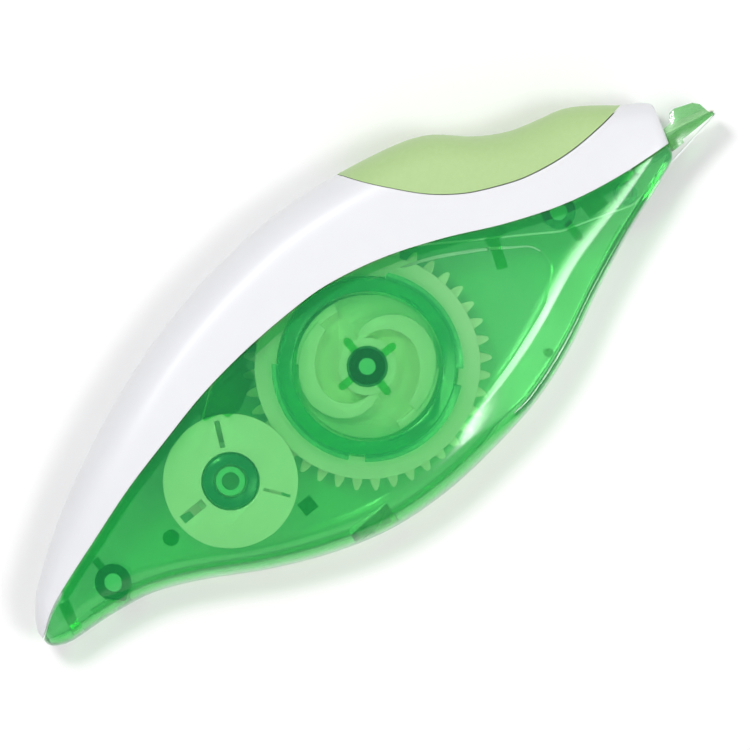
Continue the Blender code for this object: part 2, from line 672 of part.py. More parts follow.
def belt_line(circles, start_angle=None, end_angle=None):
    """Taut line past circles of (x, y, radius); the sign of the radius says which side it passes."""
    normals = []
    for (ax, ay, ar), (bx, by, br) in zip(circles, circles[1:]):
        length = math.hypot(bx - ax, by - ay)
        heading = math.atan2(by - ay, bx - ax)
        normals.append(heading + math.acos((ar - br) / length))
    points = []
    for k, (x, y, radius) in enumerate(circles):
        arriving = normals[k - 1] if k else start_angle
        leaving = normals[k] if k < len(normals) else end_angle
        if arriving is None:
            arriving = leaving
        if leaving is None:
            leaving = arriving
        turn = (leaving - arriving + math.pi) % (2 * math.pi) - math.pi
        steps = math.ceil(abs(turn) / math.radians(20))
        for j in range(steps + 1):
            a = arriving + turn * j / max(steps, 1)
            points.append((x + radius * math.cos(a), y + radius * math.sin(a)))
    return points


def ribbon_outline(points, thickness):
    """Outline of a thin strip along a line of points."""
    left = []
    right = []
    for k, (x, y) in enumerate(points):
        before = points[max(k - 1, 0)]
        after = points[min(k + 1, len(points) - 1)]
        length = math.hypot(after[0] - before[0], after[1] - before[1])
        nx = -(after[1] - before[1]) / length * thickness / 2
        ny = (after[0] - before[0]) / length * thickness / 2
        left.append((x + nx, y + ny))
        right.append((x - nx, y - ny))
    return left + list(reversed(right))


def build_tape_runs(film, liner):
    """Tape from the top of the supply coil to the tip, and the spent liner back to the take-up coil."""
    coil_reach = FIT_GAP + TAPE_THICKNESS / 2
    reach = GUIDE_GAP + TAPE_THICKNESS / 2
    tip = TIP_EDGE_RADIUS + 0.1 + TAPE_THICKNESS / 2
    nose_x, nose_y, nose_r = NOSE_POST
    feed = [(SUPPLY_X, SUPPLY_Y, COIL_OUTER + coil_reach), (nose_x, nose_y, -(nose_r + reach)),
            (GUIDE_X, GUIDE_Y, -(GUIDE_RADIUS + reach)), (TIP_X, TIP_Y, -tip)]
    feed_line = belt_line(feed, end_angle=math.radians(165))
    add_part("tape_feed_run", plate_mesh("tape_feed_run", [ribbon_outline(feed_line, TAPE_THICKNESS)],
                                         TAPE_BOTTOM, TAPE_BOTTOM + TAPE_WIDTH), film)
    guide_x, guide_y, guide_r = NOSE_GUIDE
    back = [(TIP_X, TIP_Y, -tip), (guide_x, guide_y, guide_r + reach)]
    back += [(x, y, -(radius + reach)) for x, y, radius in LINER_GUIDES]
    back.append((TAKEUP_X, TAKEUP_Y, -(LINER_COIL_OUTER + coil_reach)))
    back_line = belt_line(back, start_angle=math.radians(195))
    add_part("liner_return_run", plate_mesh("liner_return_run", [ribbon_outline(back_line, TAPE_THICKNESS)],
                                            TAPE_BOTTOM, TAPE_BOTTOM + TAPE_WIDTH), liner)


def build_tip(material):
    """Applicator: a thin blade between two side flanges, with lugs that the nose holds."""
    blade = plate_mesh("applicator_tip", [TIP_BLADE], MID_Z - TIP_FLANGE_INNER - 0.1,
                       MID_Z + TIP_FLANGE_INNER + 0.1)
    tip = add_part("applicator_tip", blade, material)
    for side in (-1, 1):
        low, high = sorted((MID_Z + side * TIP_FLANGE_INNER, MID_Z + side * TIP_FLANGE_OUTER))
        combine(tip, "UNION", plate_cutter(f"tip_flange_{side}", [TIP_FLANGE], low, high))
    lug = plate_cutter("tip_lug", [box_outline(44.8, 46.8, -4.3, -3.1)], MID_Z - 3.6, MID_Z + 3.6)
    combine(tip, "UNION", lug)
    return tip


def main():
    clear_scene()
    clear_green = plastic("clear_green", GREEN, 0.15, 0.5)
    pale_green = plastic("pale_clear_green", GREEN_LIGHT, 0.2, 0.7)
    white = plastic("white_gloss", WHITE, 0.25)
    natural = plastic("natural_white", (0.80, 0.84, 0.78), 0.4)
    rubber = plastic("grip_rubber", GRIP_GREEN, 0.6)
    film = plastic("correction_film", TAPE_WHITE, 0.55)
    liner = plastic("release_liner", LINER_TINT, 0.4)

    outer = case_body("case_outer", 0.0)
    inner = case_body("case_inner", CASE_WALL, 4)
    root_outer = case_body("root_outer", CASE_WALL / 2, 4)
    lap_outer = case_body("lap_outer", CASE_WALL + FIT_GAP, 4)
    lap_inner = case_body("lap_inner", CASE_WALL + FIT_GAP + TONGUE_THICKNESS, 4)
    opening = plate_cutter("nose_opening", [box_outline(*NOSE_OPENING)], MID_Z - 3.75, MID_Z + 3.75)
    channel = plate_cutter("tape_channel", [box_outline(*TAPE_CHANNEL)], MID_Z - 2.9, MID_Z + 2.9)

    front = case_shell("front_shell", outer, inner, root_outer, lap_outer, lap_inner, True, clear_green)
    back = case_shell("back_shell", outer, inner, root_outer, lap_outer, lap_inner, False, clear_green)
    build_front_shell(front, root_outer)
    build_back_shell(back)
    cover = build_cover(outer, inner, root_outer, lap_outer, lap_inner, white)
    build_grip(outer, inner, rubber)
    for item in (front, back, cover):
        combine(item, "DIFFERENCE", opening)
    for item in (front, back):
        combine(item, "DIFFERENCE", channel)

    build_supply_gear(natural)
    build_clutch(natural)
    build_supply_core(clear_green)
    bearing_ring("supply_tape_coil", SUPPLY_X, SUPPLY_Y, COIL_INNER, COIL_OUTER, TAPE_BOTTOM,
                 TAPE_BOTTOM + TAPE_WIDTH, film)
    build_takeup_gear(natural)
    bearing_ring("takeup_core", TAKEUP_X, TAKEUP_Y, TAKEUP_CORE_INNER, TAKEUP_CORE_OUTER,
                 GEAR_TOP + FIT_GAP, FLANGE_TOP, clear_green, 32)
    build_takeup_flange(natural)
    bearing_ring("takeup_liner_coil", TAKEUP_X, TAKEUP_Y, TAKEUP_CORE_OUTER + FIT_GAP, LINER_COIL_OUTER,
                 TAPE_BOTTOM, TAPE_BOTTOM + TAPE_WIDTH, liner, 32)
    bearing_ring("guide_roller", GUIDE_X, GUIDE_Y, GUIDE_PIN_RADIUS + 0.2, GUIDE_RADIUS, 4.9, 10.1,
                 clear_green, 24)
    build_tape_runs(film, liner)
    build_tip(pale_green)
    add_booleans()


main()
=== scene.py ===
import json
import math

import bmesh
import bpy
from mathutils import Matrix, Vector

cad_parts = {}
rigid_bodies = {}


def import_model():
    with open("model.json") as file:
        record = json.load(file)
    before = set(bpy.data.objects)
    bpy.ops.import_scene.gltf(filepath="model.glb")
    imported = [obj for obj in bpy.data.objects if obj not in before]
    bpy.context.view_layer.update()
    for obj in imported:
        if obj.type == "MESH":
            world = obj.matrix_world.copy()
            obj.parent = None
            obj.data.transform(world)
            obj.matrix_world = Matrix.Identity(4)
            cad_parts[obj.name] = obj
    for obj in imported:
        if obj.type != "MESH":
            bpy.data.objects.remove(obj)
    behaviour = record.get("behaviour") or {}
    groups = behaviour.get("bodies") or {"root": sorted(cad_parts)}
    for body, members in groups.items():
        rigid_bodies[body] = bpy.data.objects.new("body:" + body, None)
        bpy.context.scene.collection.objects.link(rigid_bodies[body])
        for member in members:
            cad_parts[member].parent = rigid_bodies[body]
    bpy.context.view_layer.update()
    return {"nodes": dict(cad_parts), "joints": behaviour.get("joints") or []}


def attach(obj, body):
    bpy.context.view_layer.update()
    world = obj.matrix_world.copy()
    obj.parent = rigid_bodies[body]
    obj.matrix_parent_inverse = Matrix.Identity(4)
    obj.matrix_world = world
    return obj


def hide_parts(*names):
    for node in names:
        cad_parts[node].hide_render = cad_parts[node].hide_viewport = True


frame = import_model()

MM = 0.001

# ---------------------------------------------------------------- sizes, in mm, as the frame has them
TAIL_X = -57.6
NOSE_X = 50.4
MID_Z = 7.5
HALF_THICKNESS = 7.5
CASE_WALL = 1.0
FIT_GAP = 0.3
CLEAR_OF_CASE = 12
TONGUE_THICKNESS = 1.0
TAIL_END_Y = -3.55
NOSE_END_Y = -2.05
TAIL_ROUNDING = 3.6
NOSE_ROUNDING = 1.4
TAIL_END_SCALE = 0.25
NOSE_END_SCALE = 0.84
NOSE_SLANT = 0.3
NOSE_SLANT_LENGTH = 3.0
TAIL_STEPS = (0.0, 0.015, 0.06, 0.14, 0.26, 0.42, 0.6, 0.8)
NOSE_STEPS = (1.5, 1.0, 0.7, 0.42, 0.2, 0.06, 0.0)
UPPER_EDGE_WIDTH = 6.0
INSET_NARROWING = 0.6
EDGE_POWER = 2.6
CREASE_START = 2
CREASE_FULL = 14
CREASE_SLOPE = 0.42
CREASE_SIDE = 0.25
SHOULDER_WIDTH = 3.0
SHOULDER_SHARE = 0.12
EDGE_SHARE = 0.42
SHOULDER_SLOPE = 0.085
SHOULDER_POINTS = (0.2, 0.4, 0.6, 0.8, 1.0)

TOP_LINE = [(-58, -0.6), (-50, 5.25), (-44, 8.95), (-36, 12.95), (-28, 16.25), (-20, 18.85), (-12, 20.6),
            (-4, 21.6), (2, 21.85), (10, 21.25), (18, 19.85), (23, 18.5), (26, 16.95), (30, 13.45), (34, 11.1),
            (38, 9.85), (42, 8.75), (46, 6.1), (52, 1.0)]
BOTTOM_LINE = [(-58, -6.0), (-54, -6.25), (-48, -6.75), (-42, -7.9), (-36, -10.55), (-28, -15.05),
               (-20, -18.65), (-12, -21.05), (-4, -21.85), (4, -21.45), (14, -19.9), (22, -17.25),
               (30, -13.4), (38, -9.9), (46, -7.05), (52, -5.0)]
PARTING_LINE = [(-60, -4.6), (-57.5, -3.5), (-54, -1.25), (-50, 0.35), (-44, 2.35), (-36, 4.95), (-28, 6.95),
                (-20, 8.75), (-12, 9.75), (-4, 10.1), (2, 9.85), (10, 8.1), (18, 5.1), (26, 1.35),
                (34, -1.55), (42, -3.15), (52, -4.0)]
THICKNESS_LINE = [(-58, 4.4), (-48, 6.0), (-38, 7.1), (-28, 7.5), (-20, 7.5), (14, 7.5), (22, 7.5), (30, 7.1),
                  (40, 6.2), (52, 5.3)]
GRIP_LINE = [(11.9, 21.8), (14, 18.45), (16, 15.85), (20, 11.35), (24, 8.25), (28, 6.25), (32, 4.75),
             (38, 3.75), (44, 3.85), (48.3, 4.4)]
GRIP_STEPS = 40
GRIP_CORNER = (0.6, 8.0)
GRIP_FAR = (56.0, 26.0)
LOWER_EDGE_LINE = [(-60, 4.5), (0, 4.6), (10, 5.0), (22, 5.1), (30, 4.5), (39.5, 3.0), (45, 2.75), (52, 2.6)]
WINDOW_LINE = [(3.5, -16.2), (8, -15.15), (14.9, -13.15), (23, -10.2), (24.3, -9.32), (26, -8.0),
               (27.14, -6.72), (27.26, -4.88), (26.5, -3.08), (24.2, -1.45), (21, 0.65), (15, 3.9), (8, 6.6),
               (3.5, 7.6)]
WINDOW_STEPS = 10
WINDOW_LEVEL = 7.22
WINDOW_LEAST = 0.16
WINDOW_CLEAR = 0.04
WINDOW_FADE_START = 3.5
WINDOW_FADE_END = 16
WINDOW_STATIONS = 60
WINDOW_TOP = 7.9
WINDOW_SPREAD = 1.6
WINDOW_TIP_TRIM = 0.01

# How Booleans are retried and judged: distances in metres, volumes in cubic mm.
ATTEMPTS = 8
NUDGE = 0.000004
NUDGE_DIRECTION = (1.0, -0.7, 0.4)
MERGE = 0.0000005
MERGE_STEPS = (0, 1, 3, 8)
PLATE_MERGE = 0.000001
SHADE_MERGE = 0.000002
CAD_MERGE = 0.000005
FLAT_DEGREES = 1.0
SLACK_SHARE = 0.002
SLACK_VOLUME = 0.001

OVERLAP = 0.05
ROOT_INSET = 0.1
TONGUE_INSET = 0.2
TONGUE_TRIM = 0.4
LIP_LAP = 0.1
LIP_THICKNESS = 0.8
LIP_HEIGHT = 2.2
LIP_REACH = 2.6
LIP_START = -50
LIP_END = 38
ZONE_START = -62
ZONE_END = 60
ZONE_FAR = 30
CUT_LOW = -5
CUT_HIGH = 20
TONGUE_ROOT = 1.2
TONGUE_HEIGHT = 2.4
ROOT_STEPS = 92
TONGUE_STEPS = 90
TONGUE_START = -52
TONGUE_END = 44
GRIP_SEAT_RIM = 1.5

JOINTS = {joint["name"]: [c / MM for c in joint["pos_m"]] for joint in frame["joints"]}
SUPPLY_X, SUPPLY_Y, _ = JOINTS["gear_spin"]
TAKEUP_X, TAKEUP_Y, _ = JOINTS["takeup_spin"]
GUIDE_X, GUIDE_Y, _ = JOINTS["guide_spin"]
HUB_RADIUS = 2.45
HUB_BORE = 1.2
PIN_RADIUS = 1.1
PIN_TOPS = (13.6, 12.4, 11.8)
PIECE_GAP = 0.01
HUB_TOP = 14.4
FRONT_POST_GAP = 0.6
BACK_POST_TOP = MID_Z + 0.3
TAKEUP_POST_RADIUS = 1.95
TAKEUP_CAP_Z = 10.0
TAKEUP_POST_TOP = 11.0
TAIL_POST = (-45.2, -3.35, 2.45)
NOSE_POST = (32.5, -1.7, 2.3)
NOSE_POST_LAP = CASE_WALL / 2 + FIT_GAP + TONGUE_THICKNESS / 2
GUIDE_PIN_RADIUS = 0.7
GUIDE_PIN_TOP = 11.4
NOSE_GUIDE = (44.2, -0.1, 0.8)
LINER_GUIDES = [(9.6, 13.6, 1.0), (-8.6, 15.0, 1.0)]
UPPER_HOOK = [(-22.2, 5.9), (-19.8, 5.3), (-19.4, 4.3), (-17.6, 4.1), (-13.1, 6.4), (-13.3, 8.9), (-22.2, 7.6)]
FIN_WIDTH = 1.1
FIN_NEAR = 1.8
FIN_FAR = 4.25
FIN_LOW = 11.8
NOSE_OPENING = (46.0, 53.0, -7.4, -1.35)
OPENING_HALF = 3.75
TAPE_CHANNEL = (42.2, 47.0, -7.3, -5.0)
CHANNEL_HALF = 2.9

# How finely the visible shapes are made.
CIRCLE_STEPS = 48
ROUND_END_STEPS = 8
STATIONS = 84
EDGE_STEPS = 12
ZONE_STEPS = 130

SCRATCH = bpy.data.collections.new("scratch")
bpy.context.scene.collection.children.link(SCRATCH)
PIECES = bpy.data.collections.new("pieces")
bpy.context.scene.collection.children.link(PIECES)


# ---------------------------------------------------------------- shapes
def smooth_line(points, x):
    last = len(points) - 2
    i = max(0, min(last, sum(1 for p in points if p[0] <= x) - 1))

    def slope(k):
        a = points[max(k - 1, 0)]
        b = points[min(k + 1, len(points) - 1)]
        return (b[1] - a[1]) / (b[0] - a[0])

    (x0, y0), (x1, y1) = points[i], points[i + 1]
    span = x1 - x0
    t = (x - x0) / span
    return (y0 * (2 * t**3 - 3 * t**2 + 1) + y1 * (3 * t**2 - 2 * t**3)
            + span * slope(i) * (t**3 - 2 * t**2 + t) + span * slope(i + 1) * (t**3 - t**2))


def half_thickness(x):
    return min(HALF_THICKNESS, smooth_line(THICKNESS_LINE, x))


def end_scale(distance, rounding, smallest):
    if distance >= rounding:
        return 1.0
    s = max(distance, 0.0) / rounding
    return smallest + (1 - smallest) * math.sqrt(1 - (1 - s) ** 2)


def edge_curve(across, depth, steps):
    """Quarter of a rounded edge, from the side (0, 0) to the flat face (across, depth)."""
    points = []
    for k in range(steps + 1):
        a = math.pi / 2 * k / steps
        u = 1 - math.cos(a) ** (2 / EDGE_POWER)
        points.append((across * u, depth * math.sin(a) ** (2 / EDGE_POWER)))
    return points


def fade(x, start, end):
    """Smooth rise from 0 at the start to 1 at the end."""
    t = min(max((x - start) / (end - start), 0.0), 1.0)
    return t * t * (3 - 2 * t)


def lower_edge(x, across, shoulder, depth, steps):
    """Lower edge of the section: rounded at the tail; at the nose a facet, a crease and a soft shoulder."""
    side = across * CREASE_SIDE
    rise = (across - side) * CREASE_SLOPE
    drop = shoulder * SHOULDER_SLOPE
    rounded = edge_curve(across, depth, steps)
    rounded += [(across + shoulder * t, depth) for t in SHOULDER_POINTS]
    facet = edge_curve(side, depth - drop - rise, steps - 1) + [(across, depth - drop)]
    facet += [(across + shoulder * t, depth - drop * (1 - t) ** 2) for t in SHOULDER_POINTS]
    w = fade(x, CREASE_START, CREASE_FULL)
    return [(u + (fu - u) * w, z + (fz - z) * w) for (u, z), (fu, fz) in zip(rounded, facet)]


def case_section(x, inset, steps):
    """Closed section of the case at x, set in by inset, as (x, y, z) points from the lower edge."""
    tail = end_scale(x - TAIL_X, TAIL_ROUNDING, TAIL_END_SCALE)
    nose = end_scale(NOSE_X - x, NOSE_ROUNDING, NOSE_END_SCALE)
    low = TAIL_END_Y + (smooth_line(BOTTOM_LINE, x) - TAIL_END_Y) * tail
    low = NOSE_END_Y + (low - NOSE_END_Y) * nose + inset
    high = TAIL_END_Y + (smooth_line(TOP_LINE, x) - TAIL_END_Y) * tail
    high = NOSE_END_Y + (high - NOSE_END_Y) * nose - inset
    deep = half_thickness(x) * tail * nose - inset
    room = (high - low) * EDGE_SHARE
    across = min(smooth_line(LOWER_EDGE_LINE, x) - inset * INSET_NARROWING, room)
    lower = lower_edge(x, across, min(SHOULDER_WIDTH, (high - low) * SHOULDER_SHARE), deep, steps)
    upper = edge_curve(min(UPPER_EDGE_WIDTH - inset * INSET_NARROWING, room), deep, steps)
    ring = [(low + u, z) for u, z in lower]
    ring += [(high - u, z) for u, z in reversed(upper)]
    ring += [(high - u, -z) for u, z in upper[1:]]
    ring += [(low + u, -z) for u, z in reversed(lower[1:])]
    slant = NOSE_SLANT * max(0.0, (x - NOSE_X + NOSE_SLANT_LENGTH) / NOSE_SLANT_LENGTH) ** 2
    return [(x + slant * (y - NOSE_END_Y), y, MID_Z + z) for y, z in ring]


def scratch_object(name, mesh):
    item = bpy.data.objects.new(name, mesh)
    SCRATCH.objects.link(item)
    return item


def case_body(name, inset):
    """Closed solid of the case's outer shape, set in all round."""
    start = TAIL_X + inset
    end = NOSE_X - inset
    stations = [start + TAIL_ROUNDING * s for s in TAIL_STEPS]
    first = TAIL_X + TAIL_ROUNDING + inset
    last = NOSE_X - NOSE_ROUNDING * 2 - inset
    stations += [first + (last - first) * k / STATIONS for k in range(STATIONS + 1)]
    stations += [end - NOSE_ROUNDING * s for s in NOSE_STEPS]
    shape = bmesh.new()
    rings = []
    for x in stations:
        rings.append([shape.verts.new([c * MM for c in p]) for p in case_section(x, inset, EDGE_STEPS)])
    for near, far in zip(rings, rings[1:]):
        for k in range(len(near)):
            j = (k + 1) % len(near)
            shape.faces.new((near[k], near[j], far[j], far[k]))
    shape.faces.new(rings[0])
    shape.faces.new(list(reversed(rings[-1])))
    bmesh.ops.recalc_face_normals(shape, faces=shape.faces)
    mesh = bpy.data.meshes.new(name)
    shape.to_mesh(mesh)
    shape.free()
    return scratch_object(name, mesh)


def evaluated_mesh(item):
    bpy.context.view_layer.update()
    depsgraph = bpy.context.evaluated_depsgraph_get()
    return bpy.data.meshes.new_from_object(item.evaluated_get(depsgraph))


def tidy_mesh(mesh, distance):
    """Merges points closer than the distance, and says how many edges are left open."""
    shape = bmesh.new()
    shape.from_mesh(mesh)
    if distance:
        bmesh.ops.remove_doubles(shape, verts=shape.verts, dist=distance)
        bmesh.ops.dissolve_degenerate(shape, edges=shape.edges, dist=distance)
    count = sum(1 for edge in shape.edges if len(edge.link_faces) != 2)
    shape.to_mesh(mesh)
    shape.free()
    return count


def volume(mesh):
    """Volume in cubic mm."""
    shape = bmesh.new()
    shape.from_mesh(mesh)
    value = shape.calc_volume(signed=True) / MM**3
    shape.free()
    return value


def plausible(operation, first, second, result):
    """Whether a result's volume can be right, given the volumes that it came from."""
    slack = SLACK_SHARE * max(first, second) + SLACK_VOLUME
    if operation == "DIFFERENCE":
        return first - second - slack < result < first + slack and result > SLACK_VOLUME
    if operation == "UNION":
        return max(first, second) - slack < result < first + second + slack
    return SLACK_VOLUME < result < min(first, second) + slack


def combine(item, operation, other):
    """Cuts, joins or keeps what is common, and applies it at once.

    A result that isn't closed, or has a volume that can't be right, is tried again with the other solid a few
    microns away.
    """
    before = item.data
    sizes = (volume(before), volume(other.data))
    for attempt in range(ATTEMPTS):
        modifier = item.modifiers.new("combine", "BOOLEAN")
        modifier.operation = operation
        modifier.object = other
        mesh = evaluated_mesh(item)
        item.modifiers.clear()
        for times in MERGE_STEPS:
            if not tidy_mesh(mesh, MERGE * times) and plausible(operation, *sizes, volume(mesh)):
                item.data = mesh
                return item
        step = NUDGE * (attempt + 1)
        other.data.transform(Matrix.Translation([part * step for part in NUDGE_DIRECTION]))
        other.data.update()
        tidy_mesh(before, MERGE * (attempt + 1))
    raise RuntimeError(f"{item.name} {operation} {other.name} doesn't give a sound solid")


def copy_of(item, name):
    return scratch_object(name, item.data.copy())


def circle(x, y, radius, count=CIRCLE_STEPS):
    step = 2 * math.pi / count
    return [(x + radius * math.cos(step * k), y + radius * math.sin(step * k)) for k in range(count)]


def box_outline(x0, x1, y0, y1):
    return [(x0, y0), (x1, y0), (x1, y1), (x0, y1)]


def bar(x0, y0, x1, y1, width, round_end=False):
    """Outline of a straight bar between two points, with a round far end if asked."""
    length = math.hypot(x1 - x0, y1 - y0)
    heading = math.atan2(y1 - y0, x1 - x0)
    nx = -(y1 - y0) / length * width / 2
    ny = (x1 - x0) / length * width / 2
    outline = [(x0 + nx, y0 + ny), (x0 - nx, y0 - ny)]
    if not round_end:
        return outline + [(x1 - nx, y1 - ny), (x1 + nx, y1 + ny)]
    for k in range(ROUND_END_STEPS + 1):
        a = heading - math.pi / 2 + math.pi * k / ROUND_END_STEPS
        outline.append((x1 + width / 2 * math.cos(a), y1 + width / 2 * math.sin(a)))
    return outline


def plate(name, loops, low, high):
    """Solid between two heights with a flat outline, holes included."""
    curve = bpy.data.curves.new(name, "CURVE")
    curve.dimensions = "2D"
    curve.fill_mode = "BOTH"
    curve.extrude = (high - low) / 2 * MM
    for loop in loops:
        spline = curve.splines.new("POLY")
        spline.points.add(len(loop) - 1)
        for point, (x, y) in zip(spline.points, loop):
            point.co = (x * MM, y * MM, 0.0, 1.0)
        spline.use_cyclic_u = True
    item = bpy.data.objects.new(name, curve)
    SCRATCH.objects.link(item)
    mesh = evaluated_mesh(item)
    bpy.data.objects.remove(item, do_unlink=True)
    shape = bmesh.new()
    shape.from_mesh(mesh)
    bmesh.ops.remove_doubles(shape, verts=shape.verts, dist=PLATE_MERGE)
    bmesh.ops.recalc_face_normals(shape, faces=shape.faces)
    bmesh.ops.translate(shape, verts=shape.verts, vec=(0.0, 0.0, (high + low) / 2 * MM))
    shape.to_mesh(mesh)
    shape.free()
    mesh.name = name
    return scratch_object(name, mesh)


def joined(name, items):
    """One object holding several separate solids."""
    shape = bmesh.new()
    for item in items:
        shape.from_mesh(item.data)
        bpy.data.objects.remove(item, do_unlink=True)
    mesh = bpy.data.meshes.new(name)
    shape.to_mesh(mesh)
    shape.free()
    return scratch_object(name, mesh)


def parting_zone(offset, far):
    stations = [ZONE_START + (ZONE_END - ZONE_START) * k / ZONE_STEPS for k in range(ZONE_STEPS + 1)]
    edge = [(x, smooth_line(PARTING_LINE, x) + offset) for x in stations]
    return edge + [(ZONE_END, far), (ZONE_START, far)]


def band(line, below, above, x0, x1, count):
    stations = [x0 + (x1 - x0) * k / count for k in range(count + 1)]
    lower = [(x, smooth_line(line, x) - below) for x in stations]
    return lower + [(x, smooth_line(line, x) + above) for x in reversed(stations)]


def grip_zone(grow):
    """Outline of the grip pad, from its lower line out past the case's top edge."""
    first_x, last_x = GRIP_LINE[0][0], GRIP_LINE[-1][0]
    lower = []
    for k in range(GRIP_STEPS + 1):
        x = first_x + (last_x - first_x) * k / GRIP_STEPS
        lower.append((x, smooth_line(GRIP_LINE, x) - grow))
    far_x, far_y = GRIP_FAR
    start = (first_x - grow, far_y)
    end = (last_x + grow, lower[-1][1])
    return [(first_x - grow, lower[0][1])] + lower[1:-1] + [end, (end[0] + GRIP_CORNER[0], GRIP_CORNER[1]),
                                                                (far_x, far_y), start]


def wall_height(x, front, lap=0.0):
    depth = half_thickness(x) - CASE_WALL / 2 - lap
    return MID_Z + depth if front else MID_Z - depth


def post(name, x, y, radius, low, high, bore=0.0):
    loops = [circle(x, y, radius)]
    if bore:
        loops.append(circle(x, y, bore))
    return plate(name, loops, low, high)


# ---------------------------------------------------------------- materials
TURNS_PER_MM = 6.0
FINE_BUMP = 0.0001
SOFT_BUMP = 0.0002
SHELL_COAT = 0.8
SHELL_COAT_ROUGHNESS = 0.22
ROUGHNESS_SPREAD = 2.2
FILM_ROUGHNESS_SPREAD = 0.08


def new_material(name):
    material = bpy.data.materials.new(name)
    material.use_nodes = True
    tree = material.node_tree
    return material, tree, tree.nodes["Principled BSDF"], tree.nodes["Material Output"]


def add_bump(tree, shader, scale, strength, distance, detail=3.0):
    """Fine moulded texture from noise: scale is per metre, distance is in metres. Gives back the noise."""
    coords = tree.nodes.new("ShaderNodeTexCoord")
    noise = tree.nodes.new("ShaderNodeTexNoise")
    noise.inputs["Scale"].default_value = scale
    noise.inputs["Detail"].default_value = detail
    bump = tree.nodes.new("ShaderNodeBump")
    bump.inputs["Strength"].default_value = strength
    bump.inputs["Distance"].default_value = distance
    tree.links.new(coords.outputs["Object"], noise.inputs["Vector"])
    tree.links.new(noise.outputs["Fac"], bump.inputs["Height"])
    tree.links.new(bump.outputs["Normal"], shader.inputs["Normal"])
    return noise


def vary(tree, source, socket, low, high):
    """Drives a shader's number from a texture, between two values."""
    spread = tree.nodes.new("ShaderNodeMapRange")
    spread.inputs["To Min"].default_value = low
    spread.inputs["To Max"].default_value = high
    tree.links.new(source, spread.inputs["Value"])
    tree.links.new(spread.outputs["Result"], socket)


def colour_between(tree, source, shader, first, second):
    ramp = tree.nodes.new("ShaderNodeValToRGB")
    ramp.color_ramp.elements[0].color = (*first, 1.0)
    ramp.color_ramp.elements[1].color = (*second, 1.0)
    tree.links.new(source, ramp.inputs["Fac"])
    tree.links.new(ramp.outputs["Color"], shader.inputs["Base Color"])


def clear_plastic(name, tint, density, haze_colour, haze, lamp_share, roughness=0.02, ior=1.48):
    """Clear tinted plastic: it bends light, darkens with depth, is a little milky and lets lamps through."""
    material, tree, shader, output = new_material(name)
    shader.inputs["Base Color"].default_value = (1.0, 1.0, 1.0, 1.0)
    shader.inputs["Transmission Weight"].default_value = 1.0
    shader.inputs["IOR"].default_value = ior
    shader.inputs["Coat Weight"].default_value = SHELL_COAT
    shader.inputs["Coat Roughness"].default_value = SHELL_COAT_ROUGHNESS
    noise = add_bump(tree, shader, 420.0, 0.05, SOFT_BUMP)
    vary(tree, noise.outputs["Fac"], shader.inputs["Roughness"], roughness, roughness * ROUGHNESS_SPREAD)
    milk = tree.nodes.new("ShaderNodeBsdfDiffuse")
    milk.inputs["Color"].default_value = (*haze_colour, 1.0)
    cloudy = tree.nodes.new("ShaderNodeMixShader")
    cloudy.inputs["Fac"].default_value = haze
    clear = tree.nodes.new("ShaderNodeBsdfTransparent")
    clear.inputs["Color"].default_value = (lamp_share, lamp_share, lamp_share, 1.0)
    path = tree.nodes.new("ShaderNodeLightPath")
    mix = tree.nodes.new("ShaderNodeMixShader")
    tree.links.new(shader.outputs["BSDF"], cloudy.inputs[1])
    tree.links.new(milk.outputs["BSDF"], cloudy.inputs[2])
    tree.links.new(path.outputs["Is Shadow Ray"], mix.inputs["Fac"])
    tree.links.new(cloudy.outputs["Shader"], mix.inputs[1])
    tree.links.new(clear.outputs["BSDF"], mix.inputs[2])
    tree.links.new(mix.outputs["Shader"], output.inputs["Surface"])
    absorb = tree.nodes.new("ShaderNodeVolumeAbsorption")
    absorb.inputs["Color"].default_value = (*tint, 1.0)
    absorb.inputs["Density"].default_value = density
    tree.links.new(absorb.outputs["Volume"], output.inputs["Volume"])
    return material


def white_gloss():
    material, tree, shader, _ = new_material("white_gloss_plastic")
    shader.inputs["IOR"].default_value = 1.5
    shader.inputs["Coat Weight"].default_value = 0.1
    shader.inputs["Coat Roughness"].default_value = 0.25
    noise = add_bump(tree, shader, 260.0, 0.06, SOFT_BUMP)
    vary(tree, noise.outputs["Fac"], shader.inputs["Roughness"], 0.34, 0.42)
    colour_between(tree, noise.outputs["Fac"], shader, (0.785, 0.79, 0.82), (0.815, 0.82, 0.845))
    return material


def grip_rubber():
    material, tree, shader, _ = new_material("grip_rubber")
    shader.inputs["Sheen Weight"].default_value = 0.15
    shader.inputs["Sheen Roughness"].default_value = 0.4
    noise = add_bump(tree, shader, 1500.0, 0.25, FINE_BUMP, 5.0)
    vary(tree, noise.outputs["Fac"], shader.inputs["Roughness"], 0.48, 0.66)
    colour_between(tree, noise.outputs["Fac"], shader, (0.41, 0.60, 0.25), (0.46, 0.65, 0.29))
    return material


def natural_plastic():
    material, tree, shader, _ = new_material("natural_white_plastic")
    shader.inputs["Subsurface Weight"].default_value = 0.2
    shader.inputs["Subsurface Radius"].default_value = (0.8, 1.0, 0.7)
    shader.inputs["Subsurface Scale"].default_value = 0.0006
    noise = add_bump(tree, shader, 700.0, 0.1, FINE_BUMP)
    vary(tree, noise.outputs["Fac"], shader.inputs["Roughness"], 0.3, 0.45)
    colour_between(tree, noise.outputs["Fac"], shader, (0.92, 0.86, 0.68), (0.95, 0.90, 0.74))
    return material


